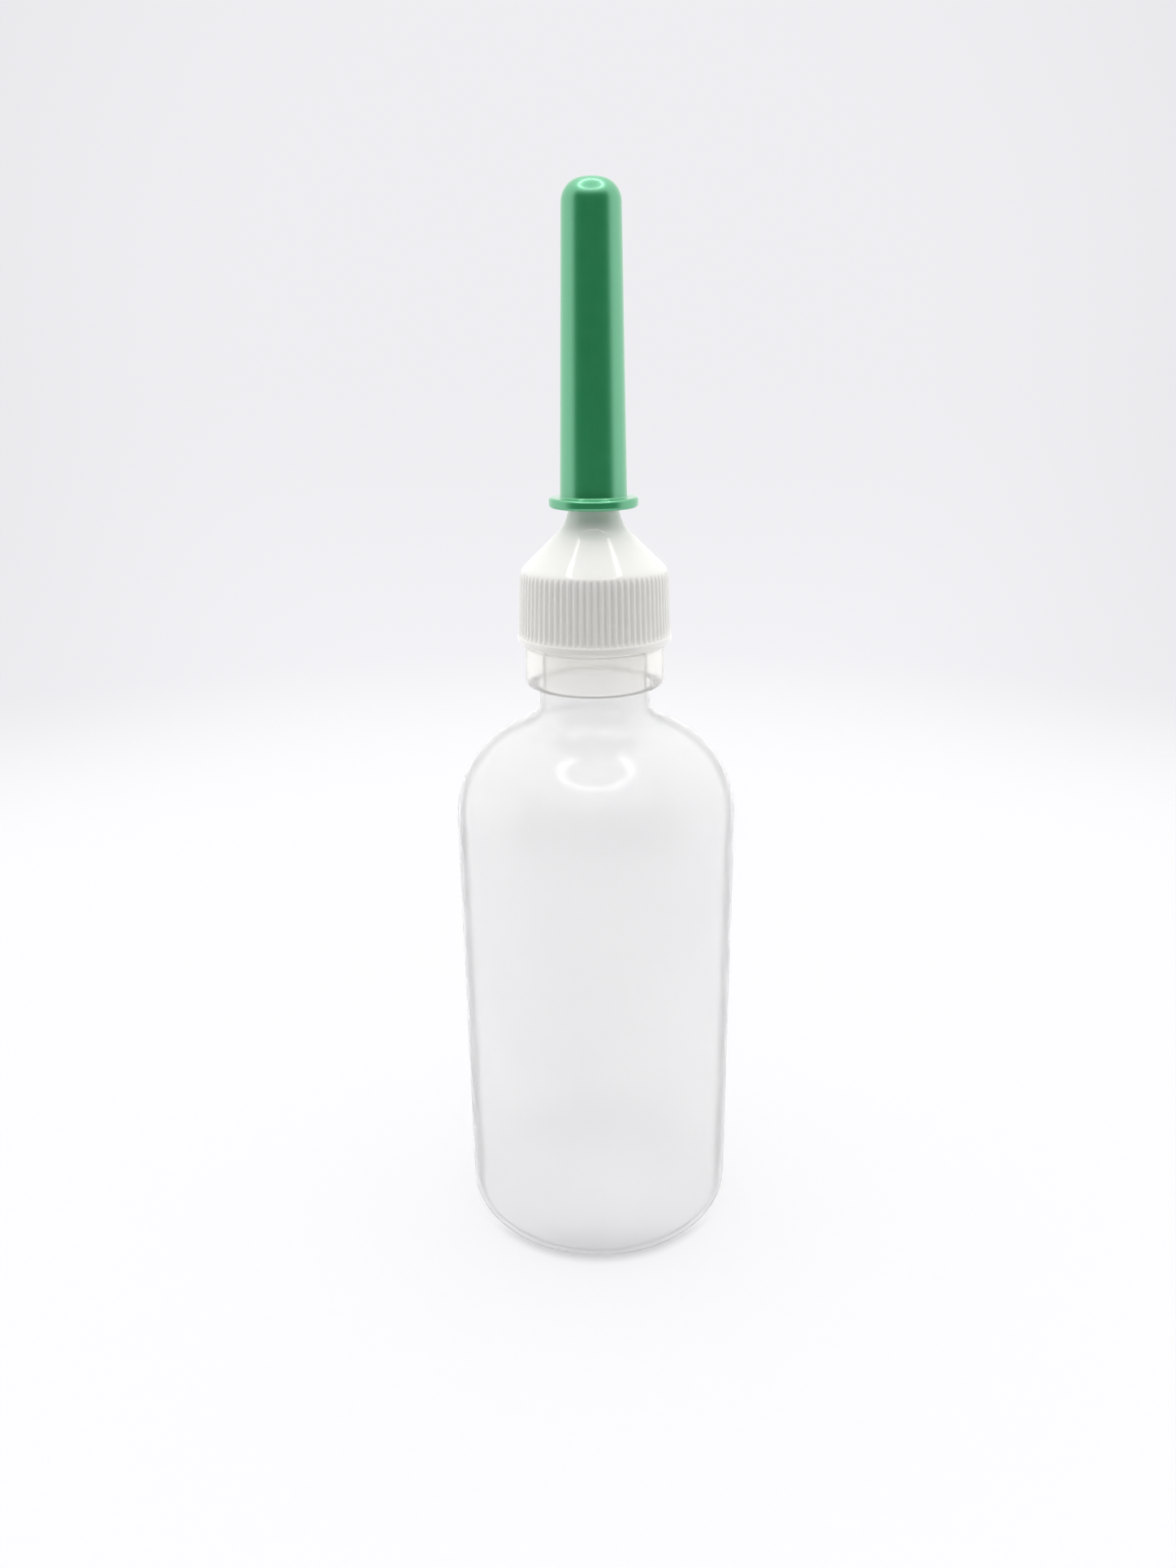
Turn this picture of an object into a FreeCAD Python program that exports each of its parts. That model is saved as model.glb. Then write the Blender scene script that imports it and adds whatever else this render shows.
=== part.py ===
import FreeCAD, Part
import math
import os
import Sketcher

# A squeeze bottle with a screw cap, an applicator nozzle and a pull-off nozzle cover.
# The origin is the centre of the base, +Z is up along the bottle's axis. Lengths are in millimetres.
# Each sub-part is drawn from its own bottom face and set at its height by its Placement.

DRIVING_SIZES = (
    # alias, value, meaning
    ("body_radius", 30.0, "bottle: outside radius of the straight wall"),
    ("bottle_height", 147.1, "bottle: base to the top of the mouth"),
    ("bottle_wall", 1.1, "bottle: wall of body, shoulder and neck"),
    ("heel_radius", 5.5, "bottle: rounding between base and wall"),
    ("base_land", 1.5, "bottle: width of the flat ring that it stands on"),
    ("dish_depth", 2.4, "bottle: how far the base is pushed up"),
    ("dish_slope", 7.0, "bottle: width of the slope from the ring to the raised base"),
    ("dish_rounding", 3.0, "bottle: rounding of the raised base's edge"),
    ("shoulder_rise", 7.6, "bottle: rise of the shoulder's slope from wall to neck"),
    ("shoulder_radius", 21.5, "bottle: rounding of the shoulder"),
    ("neck_rounding", 6.2, "bottle: hollow rounding at the foot of the neck"),
    ("neck_length", 7.1, "bottle: shoulder's slope to the neck bead"),
    ("bore_radius", 10.5, "bottle: radius of the bore through neck and mouth"),
    ("bead_overhang", 0.75, "bottle: how far the neck bead stands out past the thread"),
    ("bead_height", 8.1, "bottle: height of the neck bead"),
    ("bead_rounding", 1.1, "bottle: rounding of the bead's lower edge"),
    ("edge_rounding", 0.4, "all: rounding of small moulded edges"),
    ("finish_height", 14.0, "bottle: bead to the top of the mouth"),
    ("finish_wall", 2.05, "bottle: wall at the root of the thread"),
    ("thread_depth", 1.15, "thread: root to crest on the bottle"),
    ("thread_pitch", 4.233, "thread: rise in one turn, six turns to the inch"),
    ("thread_turns", 1.5, "thread: length in turns"),
    ("thread_crest", 1.0, "thread: width of the crest"),
    ("thread_flank", 1.0, "thread: widening of the ridge per unit of depth"),
    ("thread_start", 3.0, "thread: mouth to the middle of its upper end"),
    ("thread_clearance", 0.3, "thread: radial gap between cap and bottle"),
    ("thread_gap", 0.25, "thread: axial gap between the faces that pull the cap down"),
    ("cap_gap", 0.9, "cap: gap above the bottle's neck bead"),
    ("skirt_wall", 1.34, "cap: wall of the skirt at the floor of the flutes"),
    ("skirt_taper", 0.55, "cap: how much less its outside radius is at the top"),
    ("rib_count", 72.0, "cap: number of grip ribs"),
    ("rib_depth", 0.38, "cap: depth of the flutes between the ribs"),
    ("flute_width", 0.62, "cap: width of a flute"),
    ("rim_overhang", 0.18, "cap: how far the bead at its lower edge stands out past the ribs"),
    ("rim_height", 1.5, "cap: height of that bead"),
    ("cone_start", 0.4, "cap: ceiling to where the skirt meets the cone"),
    ("cone_rounding", 3.6, "cap: rounding between skirt and cone"),
    ("cone_rise", 8.8, "cap: rise of the cone from the skirt to the spout"),
    ("spout_flare", 1.05, "cap: how much wider the spout is at its foot"),
    ("spout_rounding", 8.0, "cap: hollow rounding at the spout's foot"),
    ("spout_rise", 3.7, "cap: height of the tapered part of the spout"),
    ("spout_end", 4.6, "cap: length of the straight end of the spout"),
    ("spout_wall", 1.75, "cap: wall of the straight end of the spout"),
    ("liner_overhang", 1.9, "liner: how far it reaches in past the bottle's bore"),
    ("liner_side_gap", 0.45, "liner: gap round its outside"),
    ("liner_thickness", 0.85, "liner: thickness"),
    ("liner_gap", 0.1, "liner: gap above and below"),
    ("fit_clearance", 0.05, "all: radial gap of pieces that fit in each other"),
    ("seat_height", 1.6, "valve seat: height"),
    ("seat_hole", 2.2, "valve seat: radius of the hole that the flap closes"),
    ("disc_thickness", 0.7, "valve disc: thickness"),
    ("flap_lap", 1.0, "valve disc: how far the flap reaches over the seat"),
    ("slit_width", 0.25, "valve disc: width of the cut round the flap"),
    ("slit_angle", 270.0, "valve disc: angle of the cut round the flap"),
    ("chamber_margin", 0.75, "nozzle: gap round the slit in the hollow that the flap opens into"),
    ("chamber_depth", 1.1, "nozzle: depth of that hollow"),
    ("clamp_width", 3.0, "nozzle: width of the flange that holds the disc down"),
    ("nozzle_flange", 1.8, "nozzle: thickness of its flange"),
    ("nozzle_radius", 3.2, "nozzle: outside radius in the spout"),
    ("nozzle_taper", 0.75, "nozzle: how much less that radius is at the tip"),
    ("nozzle_reach", 47.5, "nozzle: length beyond the spout"),
    ("nozzle_hole", 1.25, "nozzle: radius of the bore"),
    ("tip_rounding", 1.1, "nozzle: rounding of the tip"),
    ("tip_space", 6.2, "cover: space between the nozzle's tip and the closed end"),
    ("cover_wall", 1.1, "cover: wall"),
    ("cover_taper", 1.12, "cover: how much less its radius is at the closed end"),
    ("cover_rounding", 4.25, "cover: rounding of the closed end"),
    ("cover_seat", 0.3, "cover: gap between its stop and the end of the spout"),
    ("flange_width", 2.25, "cover: how far the finger flange stands out"),
    ("flange_thickness", 2.0, "cover: thickness of the finger flange"),
    ("flange_rounding", 0.6, "cover: rounding of the flange's edge"),
    ("grip_count", 6.0, "cover: number of ribs that hold it on the spout"),
    ("grip_depth", 0.61, "cover: height of such a rib above the inside wall"),
    ("grip_width", 1.0, "cover: width of such a rib"),
    ("grip_stop", 0.8, "cover: how far the ribs reach in over the spout's end"),
    ("grip_length", 3.0, "cover: length of the ribs above the spout's end"),
)

doc = FreeCAD.newDocument("squeeze_bottle")
sheet = doc.addObject("Spreadsheet::Sheet", "Sizes")
for row, (alias, value, meaning) in enumerate(DRIVING_SIZES, start=1):
    sheet.set(f"A{row}", meaning)
    sheet.set(f"B{row}", str(value))
    sheet.setAlias(f"B{row}", alias)
doc.recompute()


class Length:
    """A number together with the expression that ties it to the sheet."""

    def __init__(self, value, text):
        self.value = value
        self.text = text

    def joined(self, sign, other, value):
        return Length(value, f"({self.text} {sign} {as_length(other).text})")

    def __add__(self, other):
        return self.joined("+", other, self.value + as_length(other).value)

    def __sub__(self, other):
        return self.joined("-", other, self.value - as_length(other).value)

    def __mul__(self, other):
        return self.joined("*", other, self.value * as_length(other).value)

    def __truediv__(self, other):
        return self.joined("/", other, self.value / as_length(other).value)


def as_length(number):
    return number if isinstance(number, Length) else Length(float(number), repr(float(number)))


def root(length):
    return Length(math.sqrt(length.value), f"sqrt({length.text})")


NAMED = {alias: Length(value, f"Sizes.{alias}") for alias, value, meaning in DRIVING_SIZES}


def size(alias):
    return NAMED[alias]


ZERO = as_length(0)
CUT_PAST = as_length(1)    # how far a cutting outline runs past the face that it opens


# ---- sketches -------------------------------------------------------------------------------------

def new_sketch(body, name):
    """An empty sketch in the body's own XZ plane: across is +X and up is +Z."""
    sketch = body.newObject("Sketcher::SketchObject", name)
    plane = next(item for item in body.Origin.OriginFeatures if item.Role == "XZ_Plane")
    sketch.AttachmentSupport = (plane, [""])
    sketch.MapMode = "FlatFace"
    return sketch


def bind(sketch, constraint, length):
    index = sketch.addConstraint(constraint)
    sketch.setExpression(f"Constraints[{index}]", length.text)


def pin_point(sketch, geometry, place, across, up):
    """Dimension a point from the sketch's origin; a zero distance puts it on the axis."""
    if across.value == 0:
        sketch.addConstraint(Sketcher.Constraint("PointOnObject", geometry, place, -2))
    else:
        bind(sketch, Sketcher.Constraint("DistanceX", -1, 1, geometry, place, across.value), across)
    if up.value == 0:
        sketch.addConstraint(Sketcher.Constraint("PointOnObject", geometry, place, -1))
    else:
        bind(sketch, Sketcher.Constraint("DistanceY", -1, 1, geometry, place, up.value), up)


def rounding(before, corner, after, radius):
    """The arc that rounds a corner: its first point, middle and last point."""
    towards = (before - corner).normalize()
    onwards = (after - corner).normalize()
    half = towards.getAngle(onwards) / 2
    reach = radius / math.tan(half)
    middle = (towards + onwards).normalize()
    centre = corner + middle * (radius / math.sin(half))
    return corner + towards * reach, centre - middle * radius, corner + onwards * reach


def outline(body, name, corners):
    """A closed outline of straight sides. A corner is (across, up) or (across, up, rounding radius).

    Each sharp corner is dimensioned. A rounded one keeps its corner as a dimensioned construction
    point that both sides run through, and its arc is tangent to both sides.
    """
    sketch = new_sketch(body, name)
    points = [FreeCAD.Vector(corner[0].value, corner[1].value, 0) for corner in corners]
    count = len(corners)
    arcs = {}
    for index, corner in enumerate(corners):
        if len(corner) == 3:
            arcs[index] = rounding(points[index - 1], points[index], points[(index + 1) % count],
                                   corner[2].value)
    sides = []
    for index in range(count):
        following = (index + 1) % count
        first = arcs[index][2] if index in arcs else points[index]
        last = arcs[following][0] if following in arcs else points[following]
        sides.append(sketch.addGeometry(Part.LineSegment(first, last)))
    for index, corner in enumerate(corners):
        side_before, side_after = sides[index - 1], sides[index]
        if index not in arcs:
            sketch.addConstraint(Sketcher.Constraint("Coincident", side_before, 2, side_after, 1))
            pin_point(sketch, side_after, 1, corner[0], corner[1])
            continue
        arc = sketch.addGeometry(Part.Arc(*arcs[index]))
        first, last = arcs[index][0], arcs[index][2]
        start = sketch.getPoint(arc, 1)
        near, far = (1, 2) if start.distanceToPoint(first) < start.distanceToPoint(last) else (2, 1)
        sketch.addConstraint(Sketcher.Constraint("Tangent", side_before, 2, arc, near))
        sketch.addConstraint(Sketcher.Constraint("Tangent", arc, far, side_after, 1))
        bind(sketch, Sketcher.Constraint("Radius", arc, corner[2].value), corner[2])
        point = sketch.addGeometry(Part.Point(points[index]), True)
        pin_point(sketch, point, 1, corner[0], corner[1])
        for side in (side_before, side_after):
            sketch.addConstraint(Sketcher.Constraint("PointOnObject", point, 1, side))
    return sketch


# ---- features -------------------------------------------------------------------------------------

def new_body(label, height=None):
    """A sub-part, lifted to its height in the assembly."""
    body = doc.addObject("PartDesign::Body", label)
    body.Label = label
    if height is not None:
        body.setExpression("Placement.Base.z", height.text)
    return body


def turn(body, kind, name, corners):
    """A full turn of an outline about the body's axis: kind is Revolution or Groove."""
    sketch = outline(body, name + "_outline", corners)
    feature = body.newObject("PartDesign::" + kind, name)
    feature.Profile = sketch
    feature.ReferenceAxis = (sketch, ["V_Axis"])
    feature.Angle = 360
    doc.recompute()
    return feature


def thick_plate(body, kind, name, corners, width):
    """An outline in the XZ plane with a width across Y: kind is Pad or Pocket."""
    sketch = outline(body, name + "_outline", corners)
    feature = body.newObject("PartDesign::" + kind, name)
    feature.Profile = sketch
    feature.SideType = "Symmetric"
    feature.setExpression("Length", width.text)
    doc.recompute()
    return feature


def repeat_round(body, feature, count):
    pattern = body.newObject("PartDesign::PolarPattern", feature.Name + "_pattern")
    pattern.Originals = [feature]
    pattern.Axis = (feature.Profile[0], ["V_Axis"])
    pattern.Angle = 360
    pattern.setExpression("Occurrences", count.text)
    body.Tip = pattern
    doc.recompute()


def helical_ridge(body, name, base_radius, crest_radius, middle, base_width):
    """A screw thread: a trapezium that climbs round the axis from the XZ plane."""
    half_crest = size("thread_crest") / 2
    half_base = base_width / 2
    sketch = outline(body, name + "_outline", [
        (base_radius, middle - half_base), (crest_radius, middle - half_crest),
        (crest_radius, middle + half_crest), (base_radius, middle + half_base),
    ])
    helix = body.newObject("PartDesign::AdditiveHelix", name)
    helix.Profile = sketch
    helix.ReferenceAxis = (sketch, ["V_Axis"])
    helix.Mode = "pitch-turns-angle"
    helix.setExpression("Pitch", size("thread_pitch").text)
    helix.setExpression("Turns", size("thread_turns").text)
    helix.Angle = 0
    doc.recompute()


# ---- radii and heights that several sub-parts share ------------------------------------------------

neck_radius = size("bore_radius") + size("bottle_wall")
finish_radius = size("bore_radius") + size("finish_wall")
thread_radius = finish_radius + size("thread_depth")
cap_thread_radius = finish_radius + size("thread_clearance")
cap_wall_radius = thread_radius + size("thread_clearance")
flute_floor = cap_wall_radius + size("skirt_wall")
skirt_radius = flute_floor + size("rib_depth")
spout_bore = size("nozzle_radius") + size("fit_clearance")
spout_radius = spout_bore + size("spout_wall")
slit_radius = size("seat_hole") + size("flap_lap")
chamber_radius = slit_radius + size("slit_width") + size("chamber_margin")
clamp_radius = chamber_radius + size("clamp_width")
pocket_radius = clamp_radius + size("fit_clearance")

bead_top = size("bottle_height") - size("finish_height")
bead_bottom = bead_top - size("bead_height")
thread_length = size("thread_pitch") * size("thread_turns")
thread_middle = size("bottle_height") - size("thread_start") - thread_length
cap_bottom = bead_top + size("cap_gap")
liner_bottom = size("bottle_height") + size("liner_gap")

# heights above the bottom of the cap
ceiling_height = liner_bottom + size("liner_thickness") + size("liner_gap") - cap_bottom
cone_foot = ceiling_height + size("cone_start")
spout_foot = cone_foot + size("cone_rise")
spout_straight = spout_foot + size("spout_rise")
spout_top = spout_straight + size("spout_end")
disc_bottom = ceiling_height + size("seat_height")
disc_top = disc_bottom + size("disc_thickness")
pocket_top = disc_top + size("nozzle_flange")


def ridge_width(depth):
    """Width of a thread's ridge at a depth below its crest."""
    return size("thread_crest") + size("thread_flank") * depth


# ---- sub-parts ------------------------------------------------------------------------------------

def bottle_outline(inset):
    """The bottle's outside from the base to the neck, or its inside when inset by the wall."""
    run = size("body_radius") - neck_radius
    slope = root(run * run + size("shoulder_rise") * size("shoulder_rise"))
    drop = inset * (slope - size("shoulder_rise")) / run
    neck_corner = bead_bottom - size("neck_length") - drop
    land_inside = size("body_radius") - size("heel_radius") - size("base_land")
    return [
        (ZERO, size("dish_depth") + inset),
        (land_inside - size("dish_slope"), size("dish_depth") + inset, size("dish_rounding")),
        (land_inside, inset),
        (size("body_radius") - inset, inset, size("heel_radius") - inset),
        (size("body_radius") - inset, neck_corner - size("shoulder_rise"),
         size("shoulder_radius") - inset),
        (neck_radius - inset, neck_corner, size("neck_rounding") + inset),
    ]


def make_bottle():
    body = new_body("bottle")
    bead_radius = thread_radius + size("bead_overhang")
    turn(body, "Revolution", "bottle_outside", bottle_outline(ZERO) + [
        (neck_radius, bead_bottom),
        (bead_radius, bead_bottom, size("bead_rounding")),
        (bead_radius, bead_top, size("edge_rounding")),
        (finish_radius, bead_top),
        (finish_radius, size("bottle_height"), size("edge_rounding")),
        (ZERO, size("bottle_height")),
    ])
    sunk = size("finish_wall") / 2
    helical_ridge(body, "bottle_thread", finish_radius - sunk, thread_radius, thread_middle,
                  ridge_width(size("thread_depth") + sunk))
    above_mouth = size("bottle_height") + CUT_PAST
    turn(body, "Groove", "bottle_inside", bottle_outline(size("bottle_wall")) + [
        (size("bore_radius"), above_mouth), (ZERO, above_mouth),
    ])


def make_sealing_liner():
    body = new_body("sealing_liner", liner_bottom)
    inside = size("bore_radius") - size("liner_overhang")
    outside = cap_wall_radius - size("liner_side_gap")
    turn(body, "Revolution", "liner_ring", [
        (inside, ZERO), (outside, ZERO),
        (outside, size("liner_thickness")), (inside, size("liner_thickness")),
    ])


def cut_grip_flutes(body):
    """Flutes between the cap's ribs. Their floor leans with the skirt and runs out on the cone."""
    outer = skirt_radius + size("rim_overhang") + CUT_PAST
    flute = thick_plate(body, "Pocket", "grip_flute", [
        (flute_floor, size("rim_height")), (outer, size("rim_height")),
        (outer, cone_foot), (flute_floor - size("skirt_taper"), cone_foot),
    ], size("flute_width"))
    repeat_round(body, flute, size("rib_count"))


def add_cap_thread(body):
    """The cap's thread climbs half a turn below the bottle's, raised until the two nearly touch."""
    sunk = size("skirt_wall") / 2
    depth = cap_wall_radius - cap_thread_radius
    overlap = thread_radius - cap_thread_radius
    slack = size("thread_pitch") - ridge_width(overlap) - size("thread_crest")
    raised = slack / 2 - size("thread_gap")
    middle = thread_middle - size("thread_pitch") / 2 + raised - cap_bottom
    helical_ridge(body, "cap_thread", cap_wall_radius + sunk, cap_thread_radius, middle,
                  ridge_width(depth + sunk))


def make_screw_cap():
    body = new_body("screw_cap", cap_bottom)
    rim_radius = skirt_radius + size("rim_overhang")
    turn(body, "Revolution", "cap_outside", [
        (ZERO, ZERO),
        (rim_radius, ZERO, size("edge_rounding")),
        (rim_radius, size("rim_height"), size("edge_rounding")),
        (skirt_radius, size("rim_height")),
        (skirt_radius - size("skirt_taper"), cone_foot, size("cone_rounding")),
        (spout_radius + size("spout_flare"), spout_foot, size("spout_rounding")),
        (spout_radius, spout_straight),
        (spout_radius, spout_top, size("edge_rounding")),
        (ZERO, spout_top),
    ])
    cut_grip_flutes(body)
    turn(body, "Groove", "cap_inside", [
        (ZERO, ZERO), (cap_wall_radius, ZERO), (cap_wall_radius, ceiling_height),
        (ZERO, ceiling_height),
    ])
    add_cap_thread(body)
    turn(body, "Groove", "valve_pocket", [
        (ZERO, ceiling_height - CUT_PAST), (pocket_radius, ceiling_height - CUT_PAST),
        (pocket_radius, pocket_top), (ZERO, pocket_top),
    ])
    turn(body, "Groove", "spout_bore", [
        (ZERO, pocket_top - CUT_PAST), (spout_bore, pocket_top - CUT_PAST),
        (spout_bore, spout_top + CUT_PAST), (ZERO, spout_top + CUT_PAST),
    ])


def make_valve_seat():
    body = new_body("valve_seat", cap_bottom + ceiling_height)
    turn(body, "Revolution", "seat_ring", [
        (size("seat_hole"), ZERO), (clamp_radius, ZERO),
        (clamp_radius, size("seat_height")), (size("seat_hole"), size("seat_height")),
    ])


def make_valve_disc():
    body = new_body("valve_disc", cap_bottom + disc_bottom)
    turn(body, "Revolution", "disc", [
        (ZERO, ZERO), (clamp_radius, ZERO),
        (clamp_radius, size("disc_thickness")), (ZERO, size("disc_thickness")),
    ])
    slit_outside = slit_radius + size("slit_width")
    slit = turn(body, "Groove", "flap_slit", [
        (slit_radius, ZERO), (slit_outside, ZERO),
        (slit_outside, size("disc_thickness")), (slit_radius, size("disc_thickness")),
    ])
    slit.setExpression("Angle", size("slit_angle").text)


def make_nozzle_tube():
    body = new_body("nozzle_tube", cap_bottom + disc_top)
    spout_length = spout_top - disc_top
    tip = spout_length + size("nozzle_reach")
    turn(body, "Revolution", "nozzle_outside", [
        (ZERO, ZERO), (clamp_radius, ZERO), (clamp_radius, size("nozzle_flange")),
        (size("nozzle_radius"), size("nozzle_flange")), (size("nozzle_radius"), spout_length),
        (size("nozzle_radius") - size("nozzle_taper"), tip, size("tip_rounding")), (ZERO, tip),
    ])
    turn(body, "Groove", "nozzle_bore", [
        (ZERO, ZERO), (chamber_radius, ZERO), (chamber_radius, size("chamber_depth")),
        (size("nozzle_hole"), size("chamber_depth")), (size("nozzle_hole"), tip + CUT_PAST),
        (ZERO, tip + CUT_PAST),
    ])


def make_nozzle_cover():
    body = new_body("nozzle_cover", cap_bottom + spout_straight)
    grip_radius = spout_radius + size("fit_clearance")
    inside_radius = grip_radius + size("grip_depth")
    outside_radius = inside_radius + size("cover_wall")
    flange_radius = outside_radius + size("flange_width")
    inside_top = size("spout_end") + size("nozzle_reach") + size("tip_space")
    top = inside_top + size("cover_wall")
    turn(body, "Revolution", "cover_outside", [
        (ZERO, ZERO),
        (flange_radius, ZERO, size("flange_rounding")),
        (flange_radius, size("flange_thickness"), size("flange_rounding")),
        (outside_radius, size("flange_thickness"), size("edge_rounding")),
        (outside_radius - size("cover_taper"), top, size("cover_rounding")),
        (ZERO, top),
    ])
    turn(body, "Groove", "cover_inside", [
        (ZERO, ZERO), (inside_radius, ZERO),
        (inside_radius - size("cover_taper"), inside_top, size("cover_rounding") - size("cover_wall")),
        (ZERO, inside_top),
    ])
    stop = size("spout_end") + size("cover_seat")
    rib_top = stop + size("grip_length")
    in_wall = inside_radius + size("cover_wall") / 2
    rib = thick_plate(body, "Pad", "grip_rib", [
        (grip_radius, size("edge_rounding")), (in_wall, size("edge_rounding")), (in_wall, rib_top),
        (grip_radius, rib_top), (grip_radius - size("grip_stop"), rib_top - size("grip_stop")),
        (grip_radius - size("grip_stop"), stop), (grip_radius, stop),
    ], size("grip_width"))
    repeat_round(body, rib, size("grip_count"))


# ---- build, check and write -----------------------------------------------------------------------

for make in (make_bottle, make_sealing_liner, make_screw_cap, make_valve_seat, make_valve_disc,
             make_nozzle_tube, make_nozzle_cover):
    make()
doc.recompute()

for item in doc.Objects:
    if "Invalid" in item.State or "Error" in item.State:
        raise RuntimeError(f"{item.Label} failed: {item.State}")

os.makedirs("parts", exist_ok=True)
bodies = [item for item in doc.Objects if item.TypeId == "PartDesign::Body"]
for body in bodies:
    if body.Shape.isNull() or not body.Shape.isValid() or len(body.Shape.Solids) != 1:
        raise RuntimeError(f"{body.Label} isn't one valid solid")
for body in bodies:
    body.Shape.exportStep(f"parts/{body.Label}.step")
    box = body.Shape.BoundBox
    print(f"{body.Label}: {body.Shape.Volume / 1000:.2f} cm3, z {box.ZMin:.2f} to {box.ZMax:.2f}")
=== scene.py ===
import math

import bpy
from mathutils import Matrix, Vector


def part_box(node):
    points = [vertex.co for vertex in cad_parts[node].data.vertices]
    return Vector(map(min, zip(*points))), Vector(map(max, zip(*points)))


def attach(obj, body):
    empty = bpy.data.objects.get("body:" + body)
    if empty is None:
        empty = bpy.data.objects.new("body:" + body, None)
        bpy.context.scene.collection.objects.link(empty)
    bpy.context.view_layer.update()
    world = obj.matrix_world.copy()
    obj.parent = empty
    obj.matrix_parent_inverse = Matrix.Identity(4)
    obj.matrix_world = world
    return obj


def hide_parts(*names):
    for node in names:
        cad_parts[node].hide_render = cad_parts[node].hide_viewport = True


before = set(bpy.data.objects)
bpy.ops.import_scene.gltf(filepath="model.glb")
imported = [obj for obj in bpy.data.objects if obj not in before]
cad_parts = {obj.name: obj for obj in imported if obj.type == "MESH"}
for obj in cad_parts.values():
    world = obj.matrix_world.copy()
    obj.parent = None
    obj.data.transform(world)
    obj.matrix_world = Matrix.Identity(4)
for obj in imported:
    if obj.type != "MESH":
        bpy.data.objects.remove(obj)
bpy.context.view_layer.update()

# A squeeze bottle with a screw cap, an applicator nozzle and a pull-off nozzle cover.
# Outlines are in millimetres, with radius across and height up; MM turns them into metres.
# Overall sizes come from the frame. Most of the named sizes below are the CAD model's or follow
# from it. The seams, the gate mark, the thread's ends and the cover's grip ribs have their own.

MM = 0.001
FULL_TURN = 2 * math.pi


def top(node):
    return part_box(node)[1].z / MM


def bottom(node):
    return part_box(node)[0].z / MM


def radius(node):
    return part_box(node)[1].x / MM


# ---- meshes -------------------------------------------------------------------------------------

ARC_STEP = math.radians(6)      # turn between two points of a rounded corner
LONGEST_RUN = 6.0               # longest straight run between two points of an outline
ON_AXIS = 1e-6                  # a point nearer the axis than this lies on it
SHARP_ANGLE = math.radians(55)  # edges that turn more than this stay sharp


def rounded(before, corner, after, corner_radius):
    """Points of the arc that rounds a corner."""
    towards = (before - corner).normalized()
    onwards = (after - corner).normalized()
    half = towards.angle(onwards) / 2
    centre = corner + (towards + onwards).normalized() * (corner_radius / math.sin(half))
    first = corner + towards * (corner_radius / math.tan(half)) - centre
    turned = math.pi - 2 * half
    direction = math.copysign(1, first.x * (corner - centre).y - first.y * (corner - centre).x)
    count = max(2, math.ceil(turned / ARC_STEP))
    points = []
    for step in range(count + 1):
        angle = direction * turned * step / count
        across = first.x * math.cos(angle) - first.y * math.sin(angle)
        up = first.x * math.sin(angle) + first.y * math.cos(angle)
        points.append(centre + Vector((across, up)))
    return points


def outline(corners, closed=False, longest=LONGEST_RUN):
    """Points of an outline. A corner is (radius, height), or has a rounding radius as well."""
    count = len(corners)
    plain = [Vector(corner[:2]) for corner in corners]
    ends = []
    for index, corner in enumerate(corners):
        if len(corner) == 3:
            following = plain[(index + 1) % count]
            ends.append(rounded(plain[index - 1], plain[index], following, corner[2]))
        else:
            ends.append([plain[index]])
    points = list(ends[0])
    for arc in ends[1:] + ([ends[0][:1]] if closed else []):
        run = arc[0] - points[-1]
        pieces = max(1, math.ceil(run.length / longest))
        start = points[-1]
        points += [start + run * (step / pieces) for step in range(1, pieces)]
        points += arc
    return points[:-1] if closed else points


def lathe(name, points, segments, closed=False, shape=None):
    """A mesh turned about Z. shape(radius, height, angle) may move a point across and up."""
    vertices, faces, rings = [], [], []
    for point in points:
        if point.x < ON_AXIS:
            rings.append([len(vertices)] * segments)
            vertices.append((0, 0, point.y * MM))
            continue
        rings.append([len(vertices) + step for step in range(segments)])
        for step in range(segments):
            angle = FULL_TURN * step / segments
            across, up = shape(point.x, point.y, angle) if shape else point
            vertices.append((across * MM * math.cos(angle), across * MM * math.sin(angle), up * MM))
    pairs = list(zip(rings, rings[1:])) + ([(rings[-1], rings[0])] if closed else [])
    for low, high in pairs:
        for step in range(segments):
            following = (step + 1) % segments
            face = [low[step], low[following], high[following], high[step]]
            faces.append(list(dict.fromkeys(face)))
    return make_piece(name, vertices, faces)


def link(thing):
    bpy.context.scene.collection.objects.link(thing)


def make_piece(name, vertices, faces):
    mesh = bpy.data.meshes.new(name)
    mesh.from_pydata(vertices, [], faces)
    mesh.validate()
    piece = bpy.data.objects.new(name, mesh)
    link(piece)
    mesh.shade_smooth()
    mesh.set_sharp_from_angle(angle=SHARP_ANGLE)
    return piece


def finish_piece(piece, node, body, material):
    piece.data.materials.append(material)
    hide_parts(node)
    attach(piece, body)


def smooth_step(value):
    value = min(1.0, max(0.0, value))
    return value * value * (3 - 2 * value)


def turned_from(angle, other):
    """The angle between two directions, from 0 to pi."""
    return abs((angle - other + math.pi) % FULL_TURN - math.pi)


# ---- sizes that several pieces share ------------------------------------------------------------

THREAD_PITCH = 4.233
THREAD_TURNS = 1.5
THREAD_CREST = 1.0
THREAD_DEPTH = 1.15
THREAD_START = 3.0          # mouth to the middle of the thread's upper end
THREAD_CLEARANCE = 0.3
THREAD_GAP = 0.25
THREAD_RUNOUT = 0.12        # part of a turn in which each end of a thread fades
EDGE = 0.4                  # rounding of small moulded edges
BOTTLE_WALL = 1.1
FINISH_HEIGHT = 14.0
FINISH_RADIUS = 12.55
BORE_RADIUS = 10.5
CAP_WALL_RADIUS = 14.0
SPOUT_RADIUS = 5.0
SPOUT_BORE = 3.25

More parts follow.
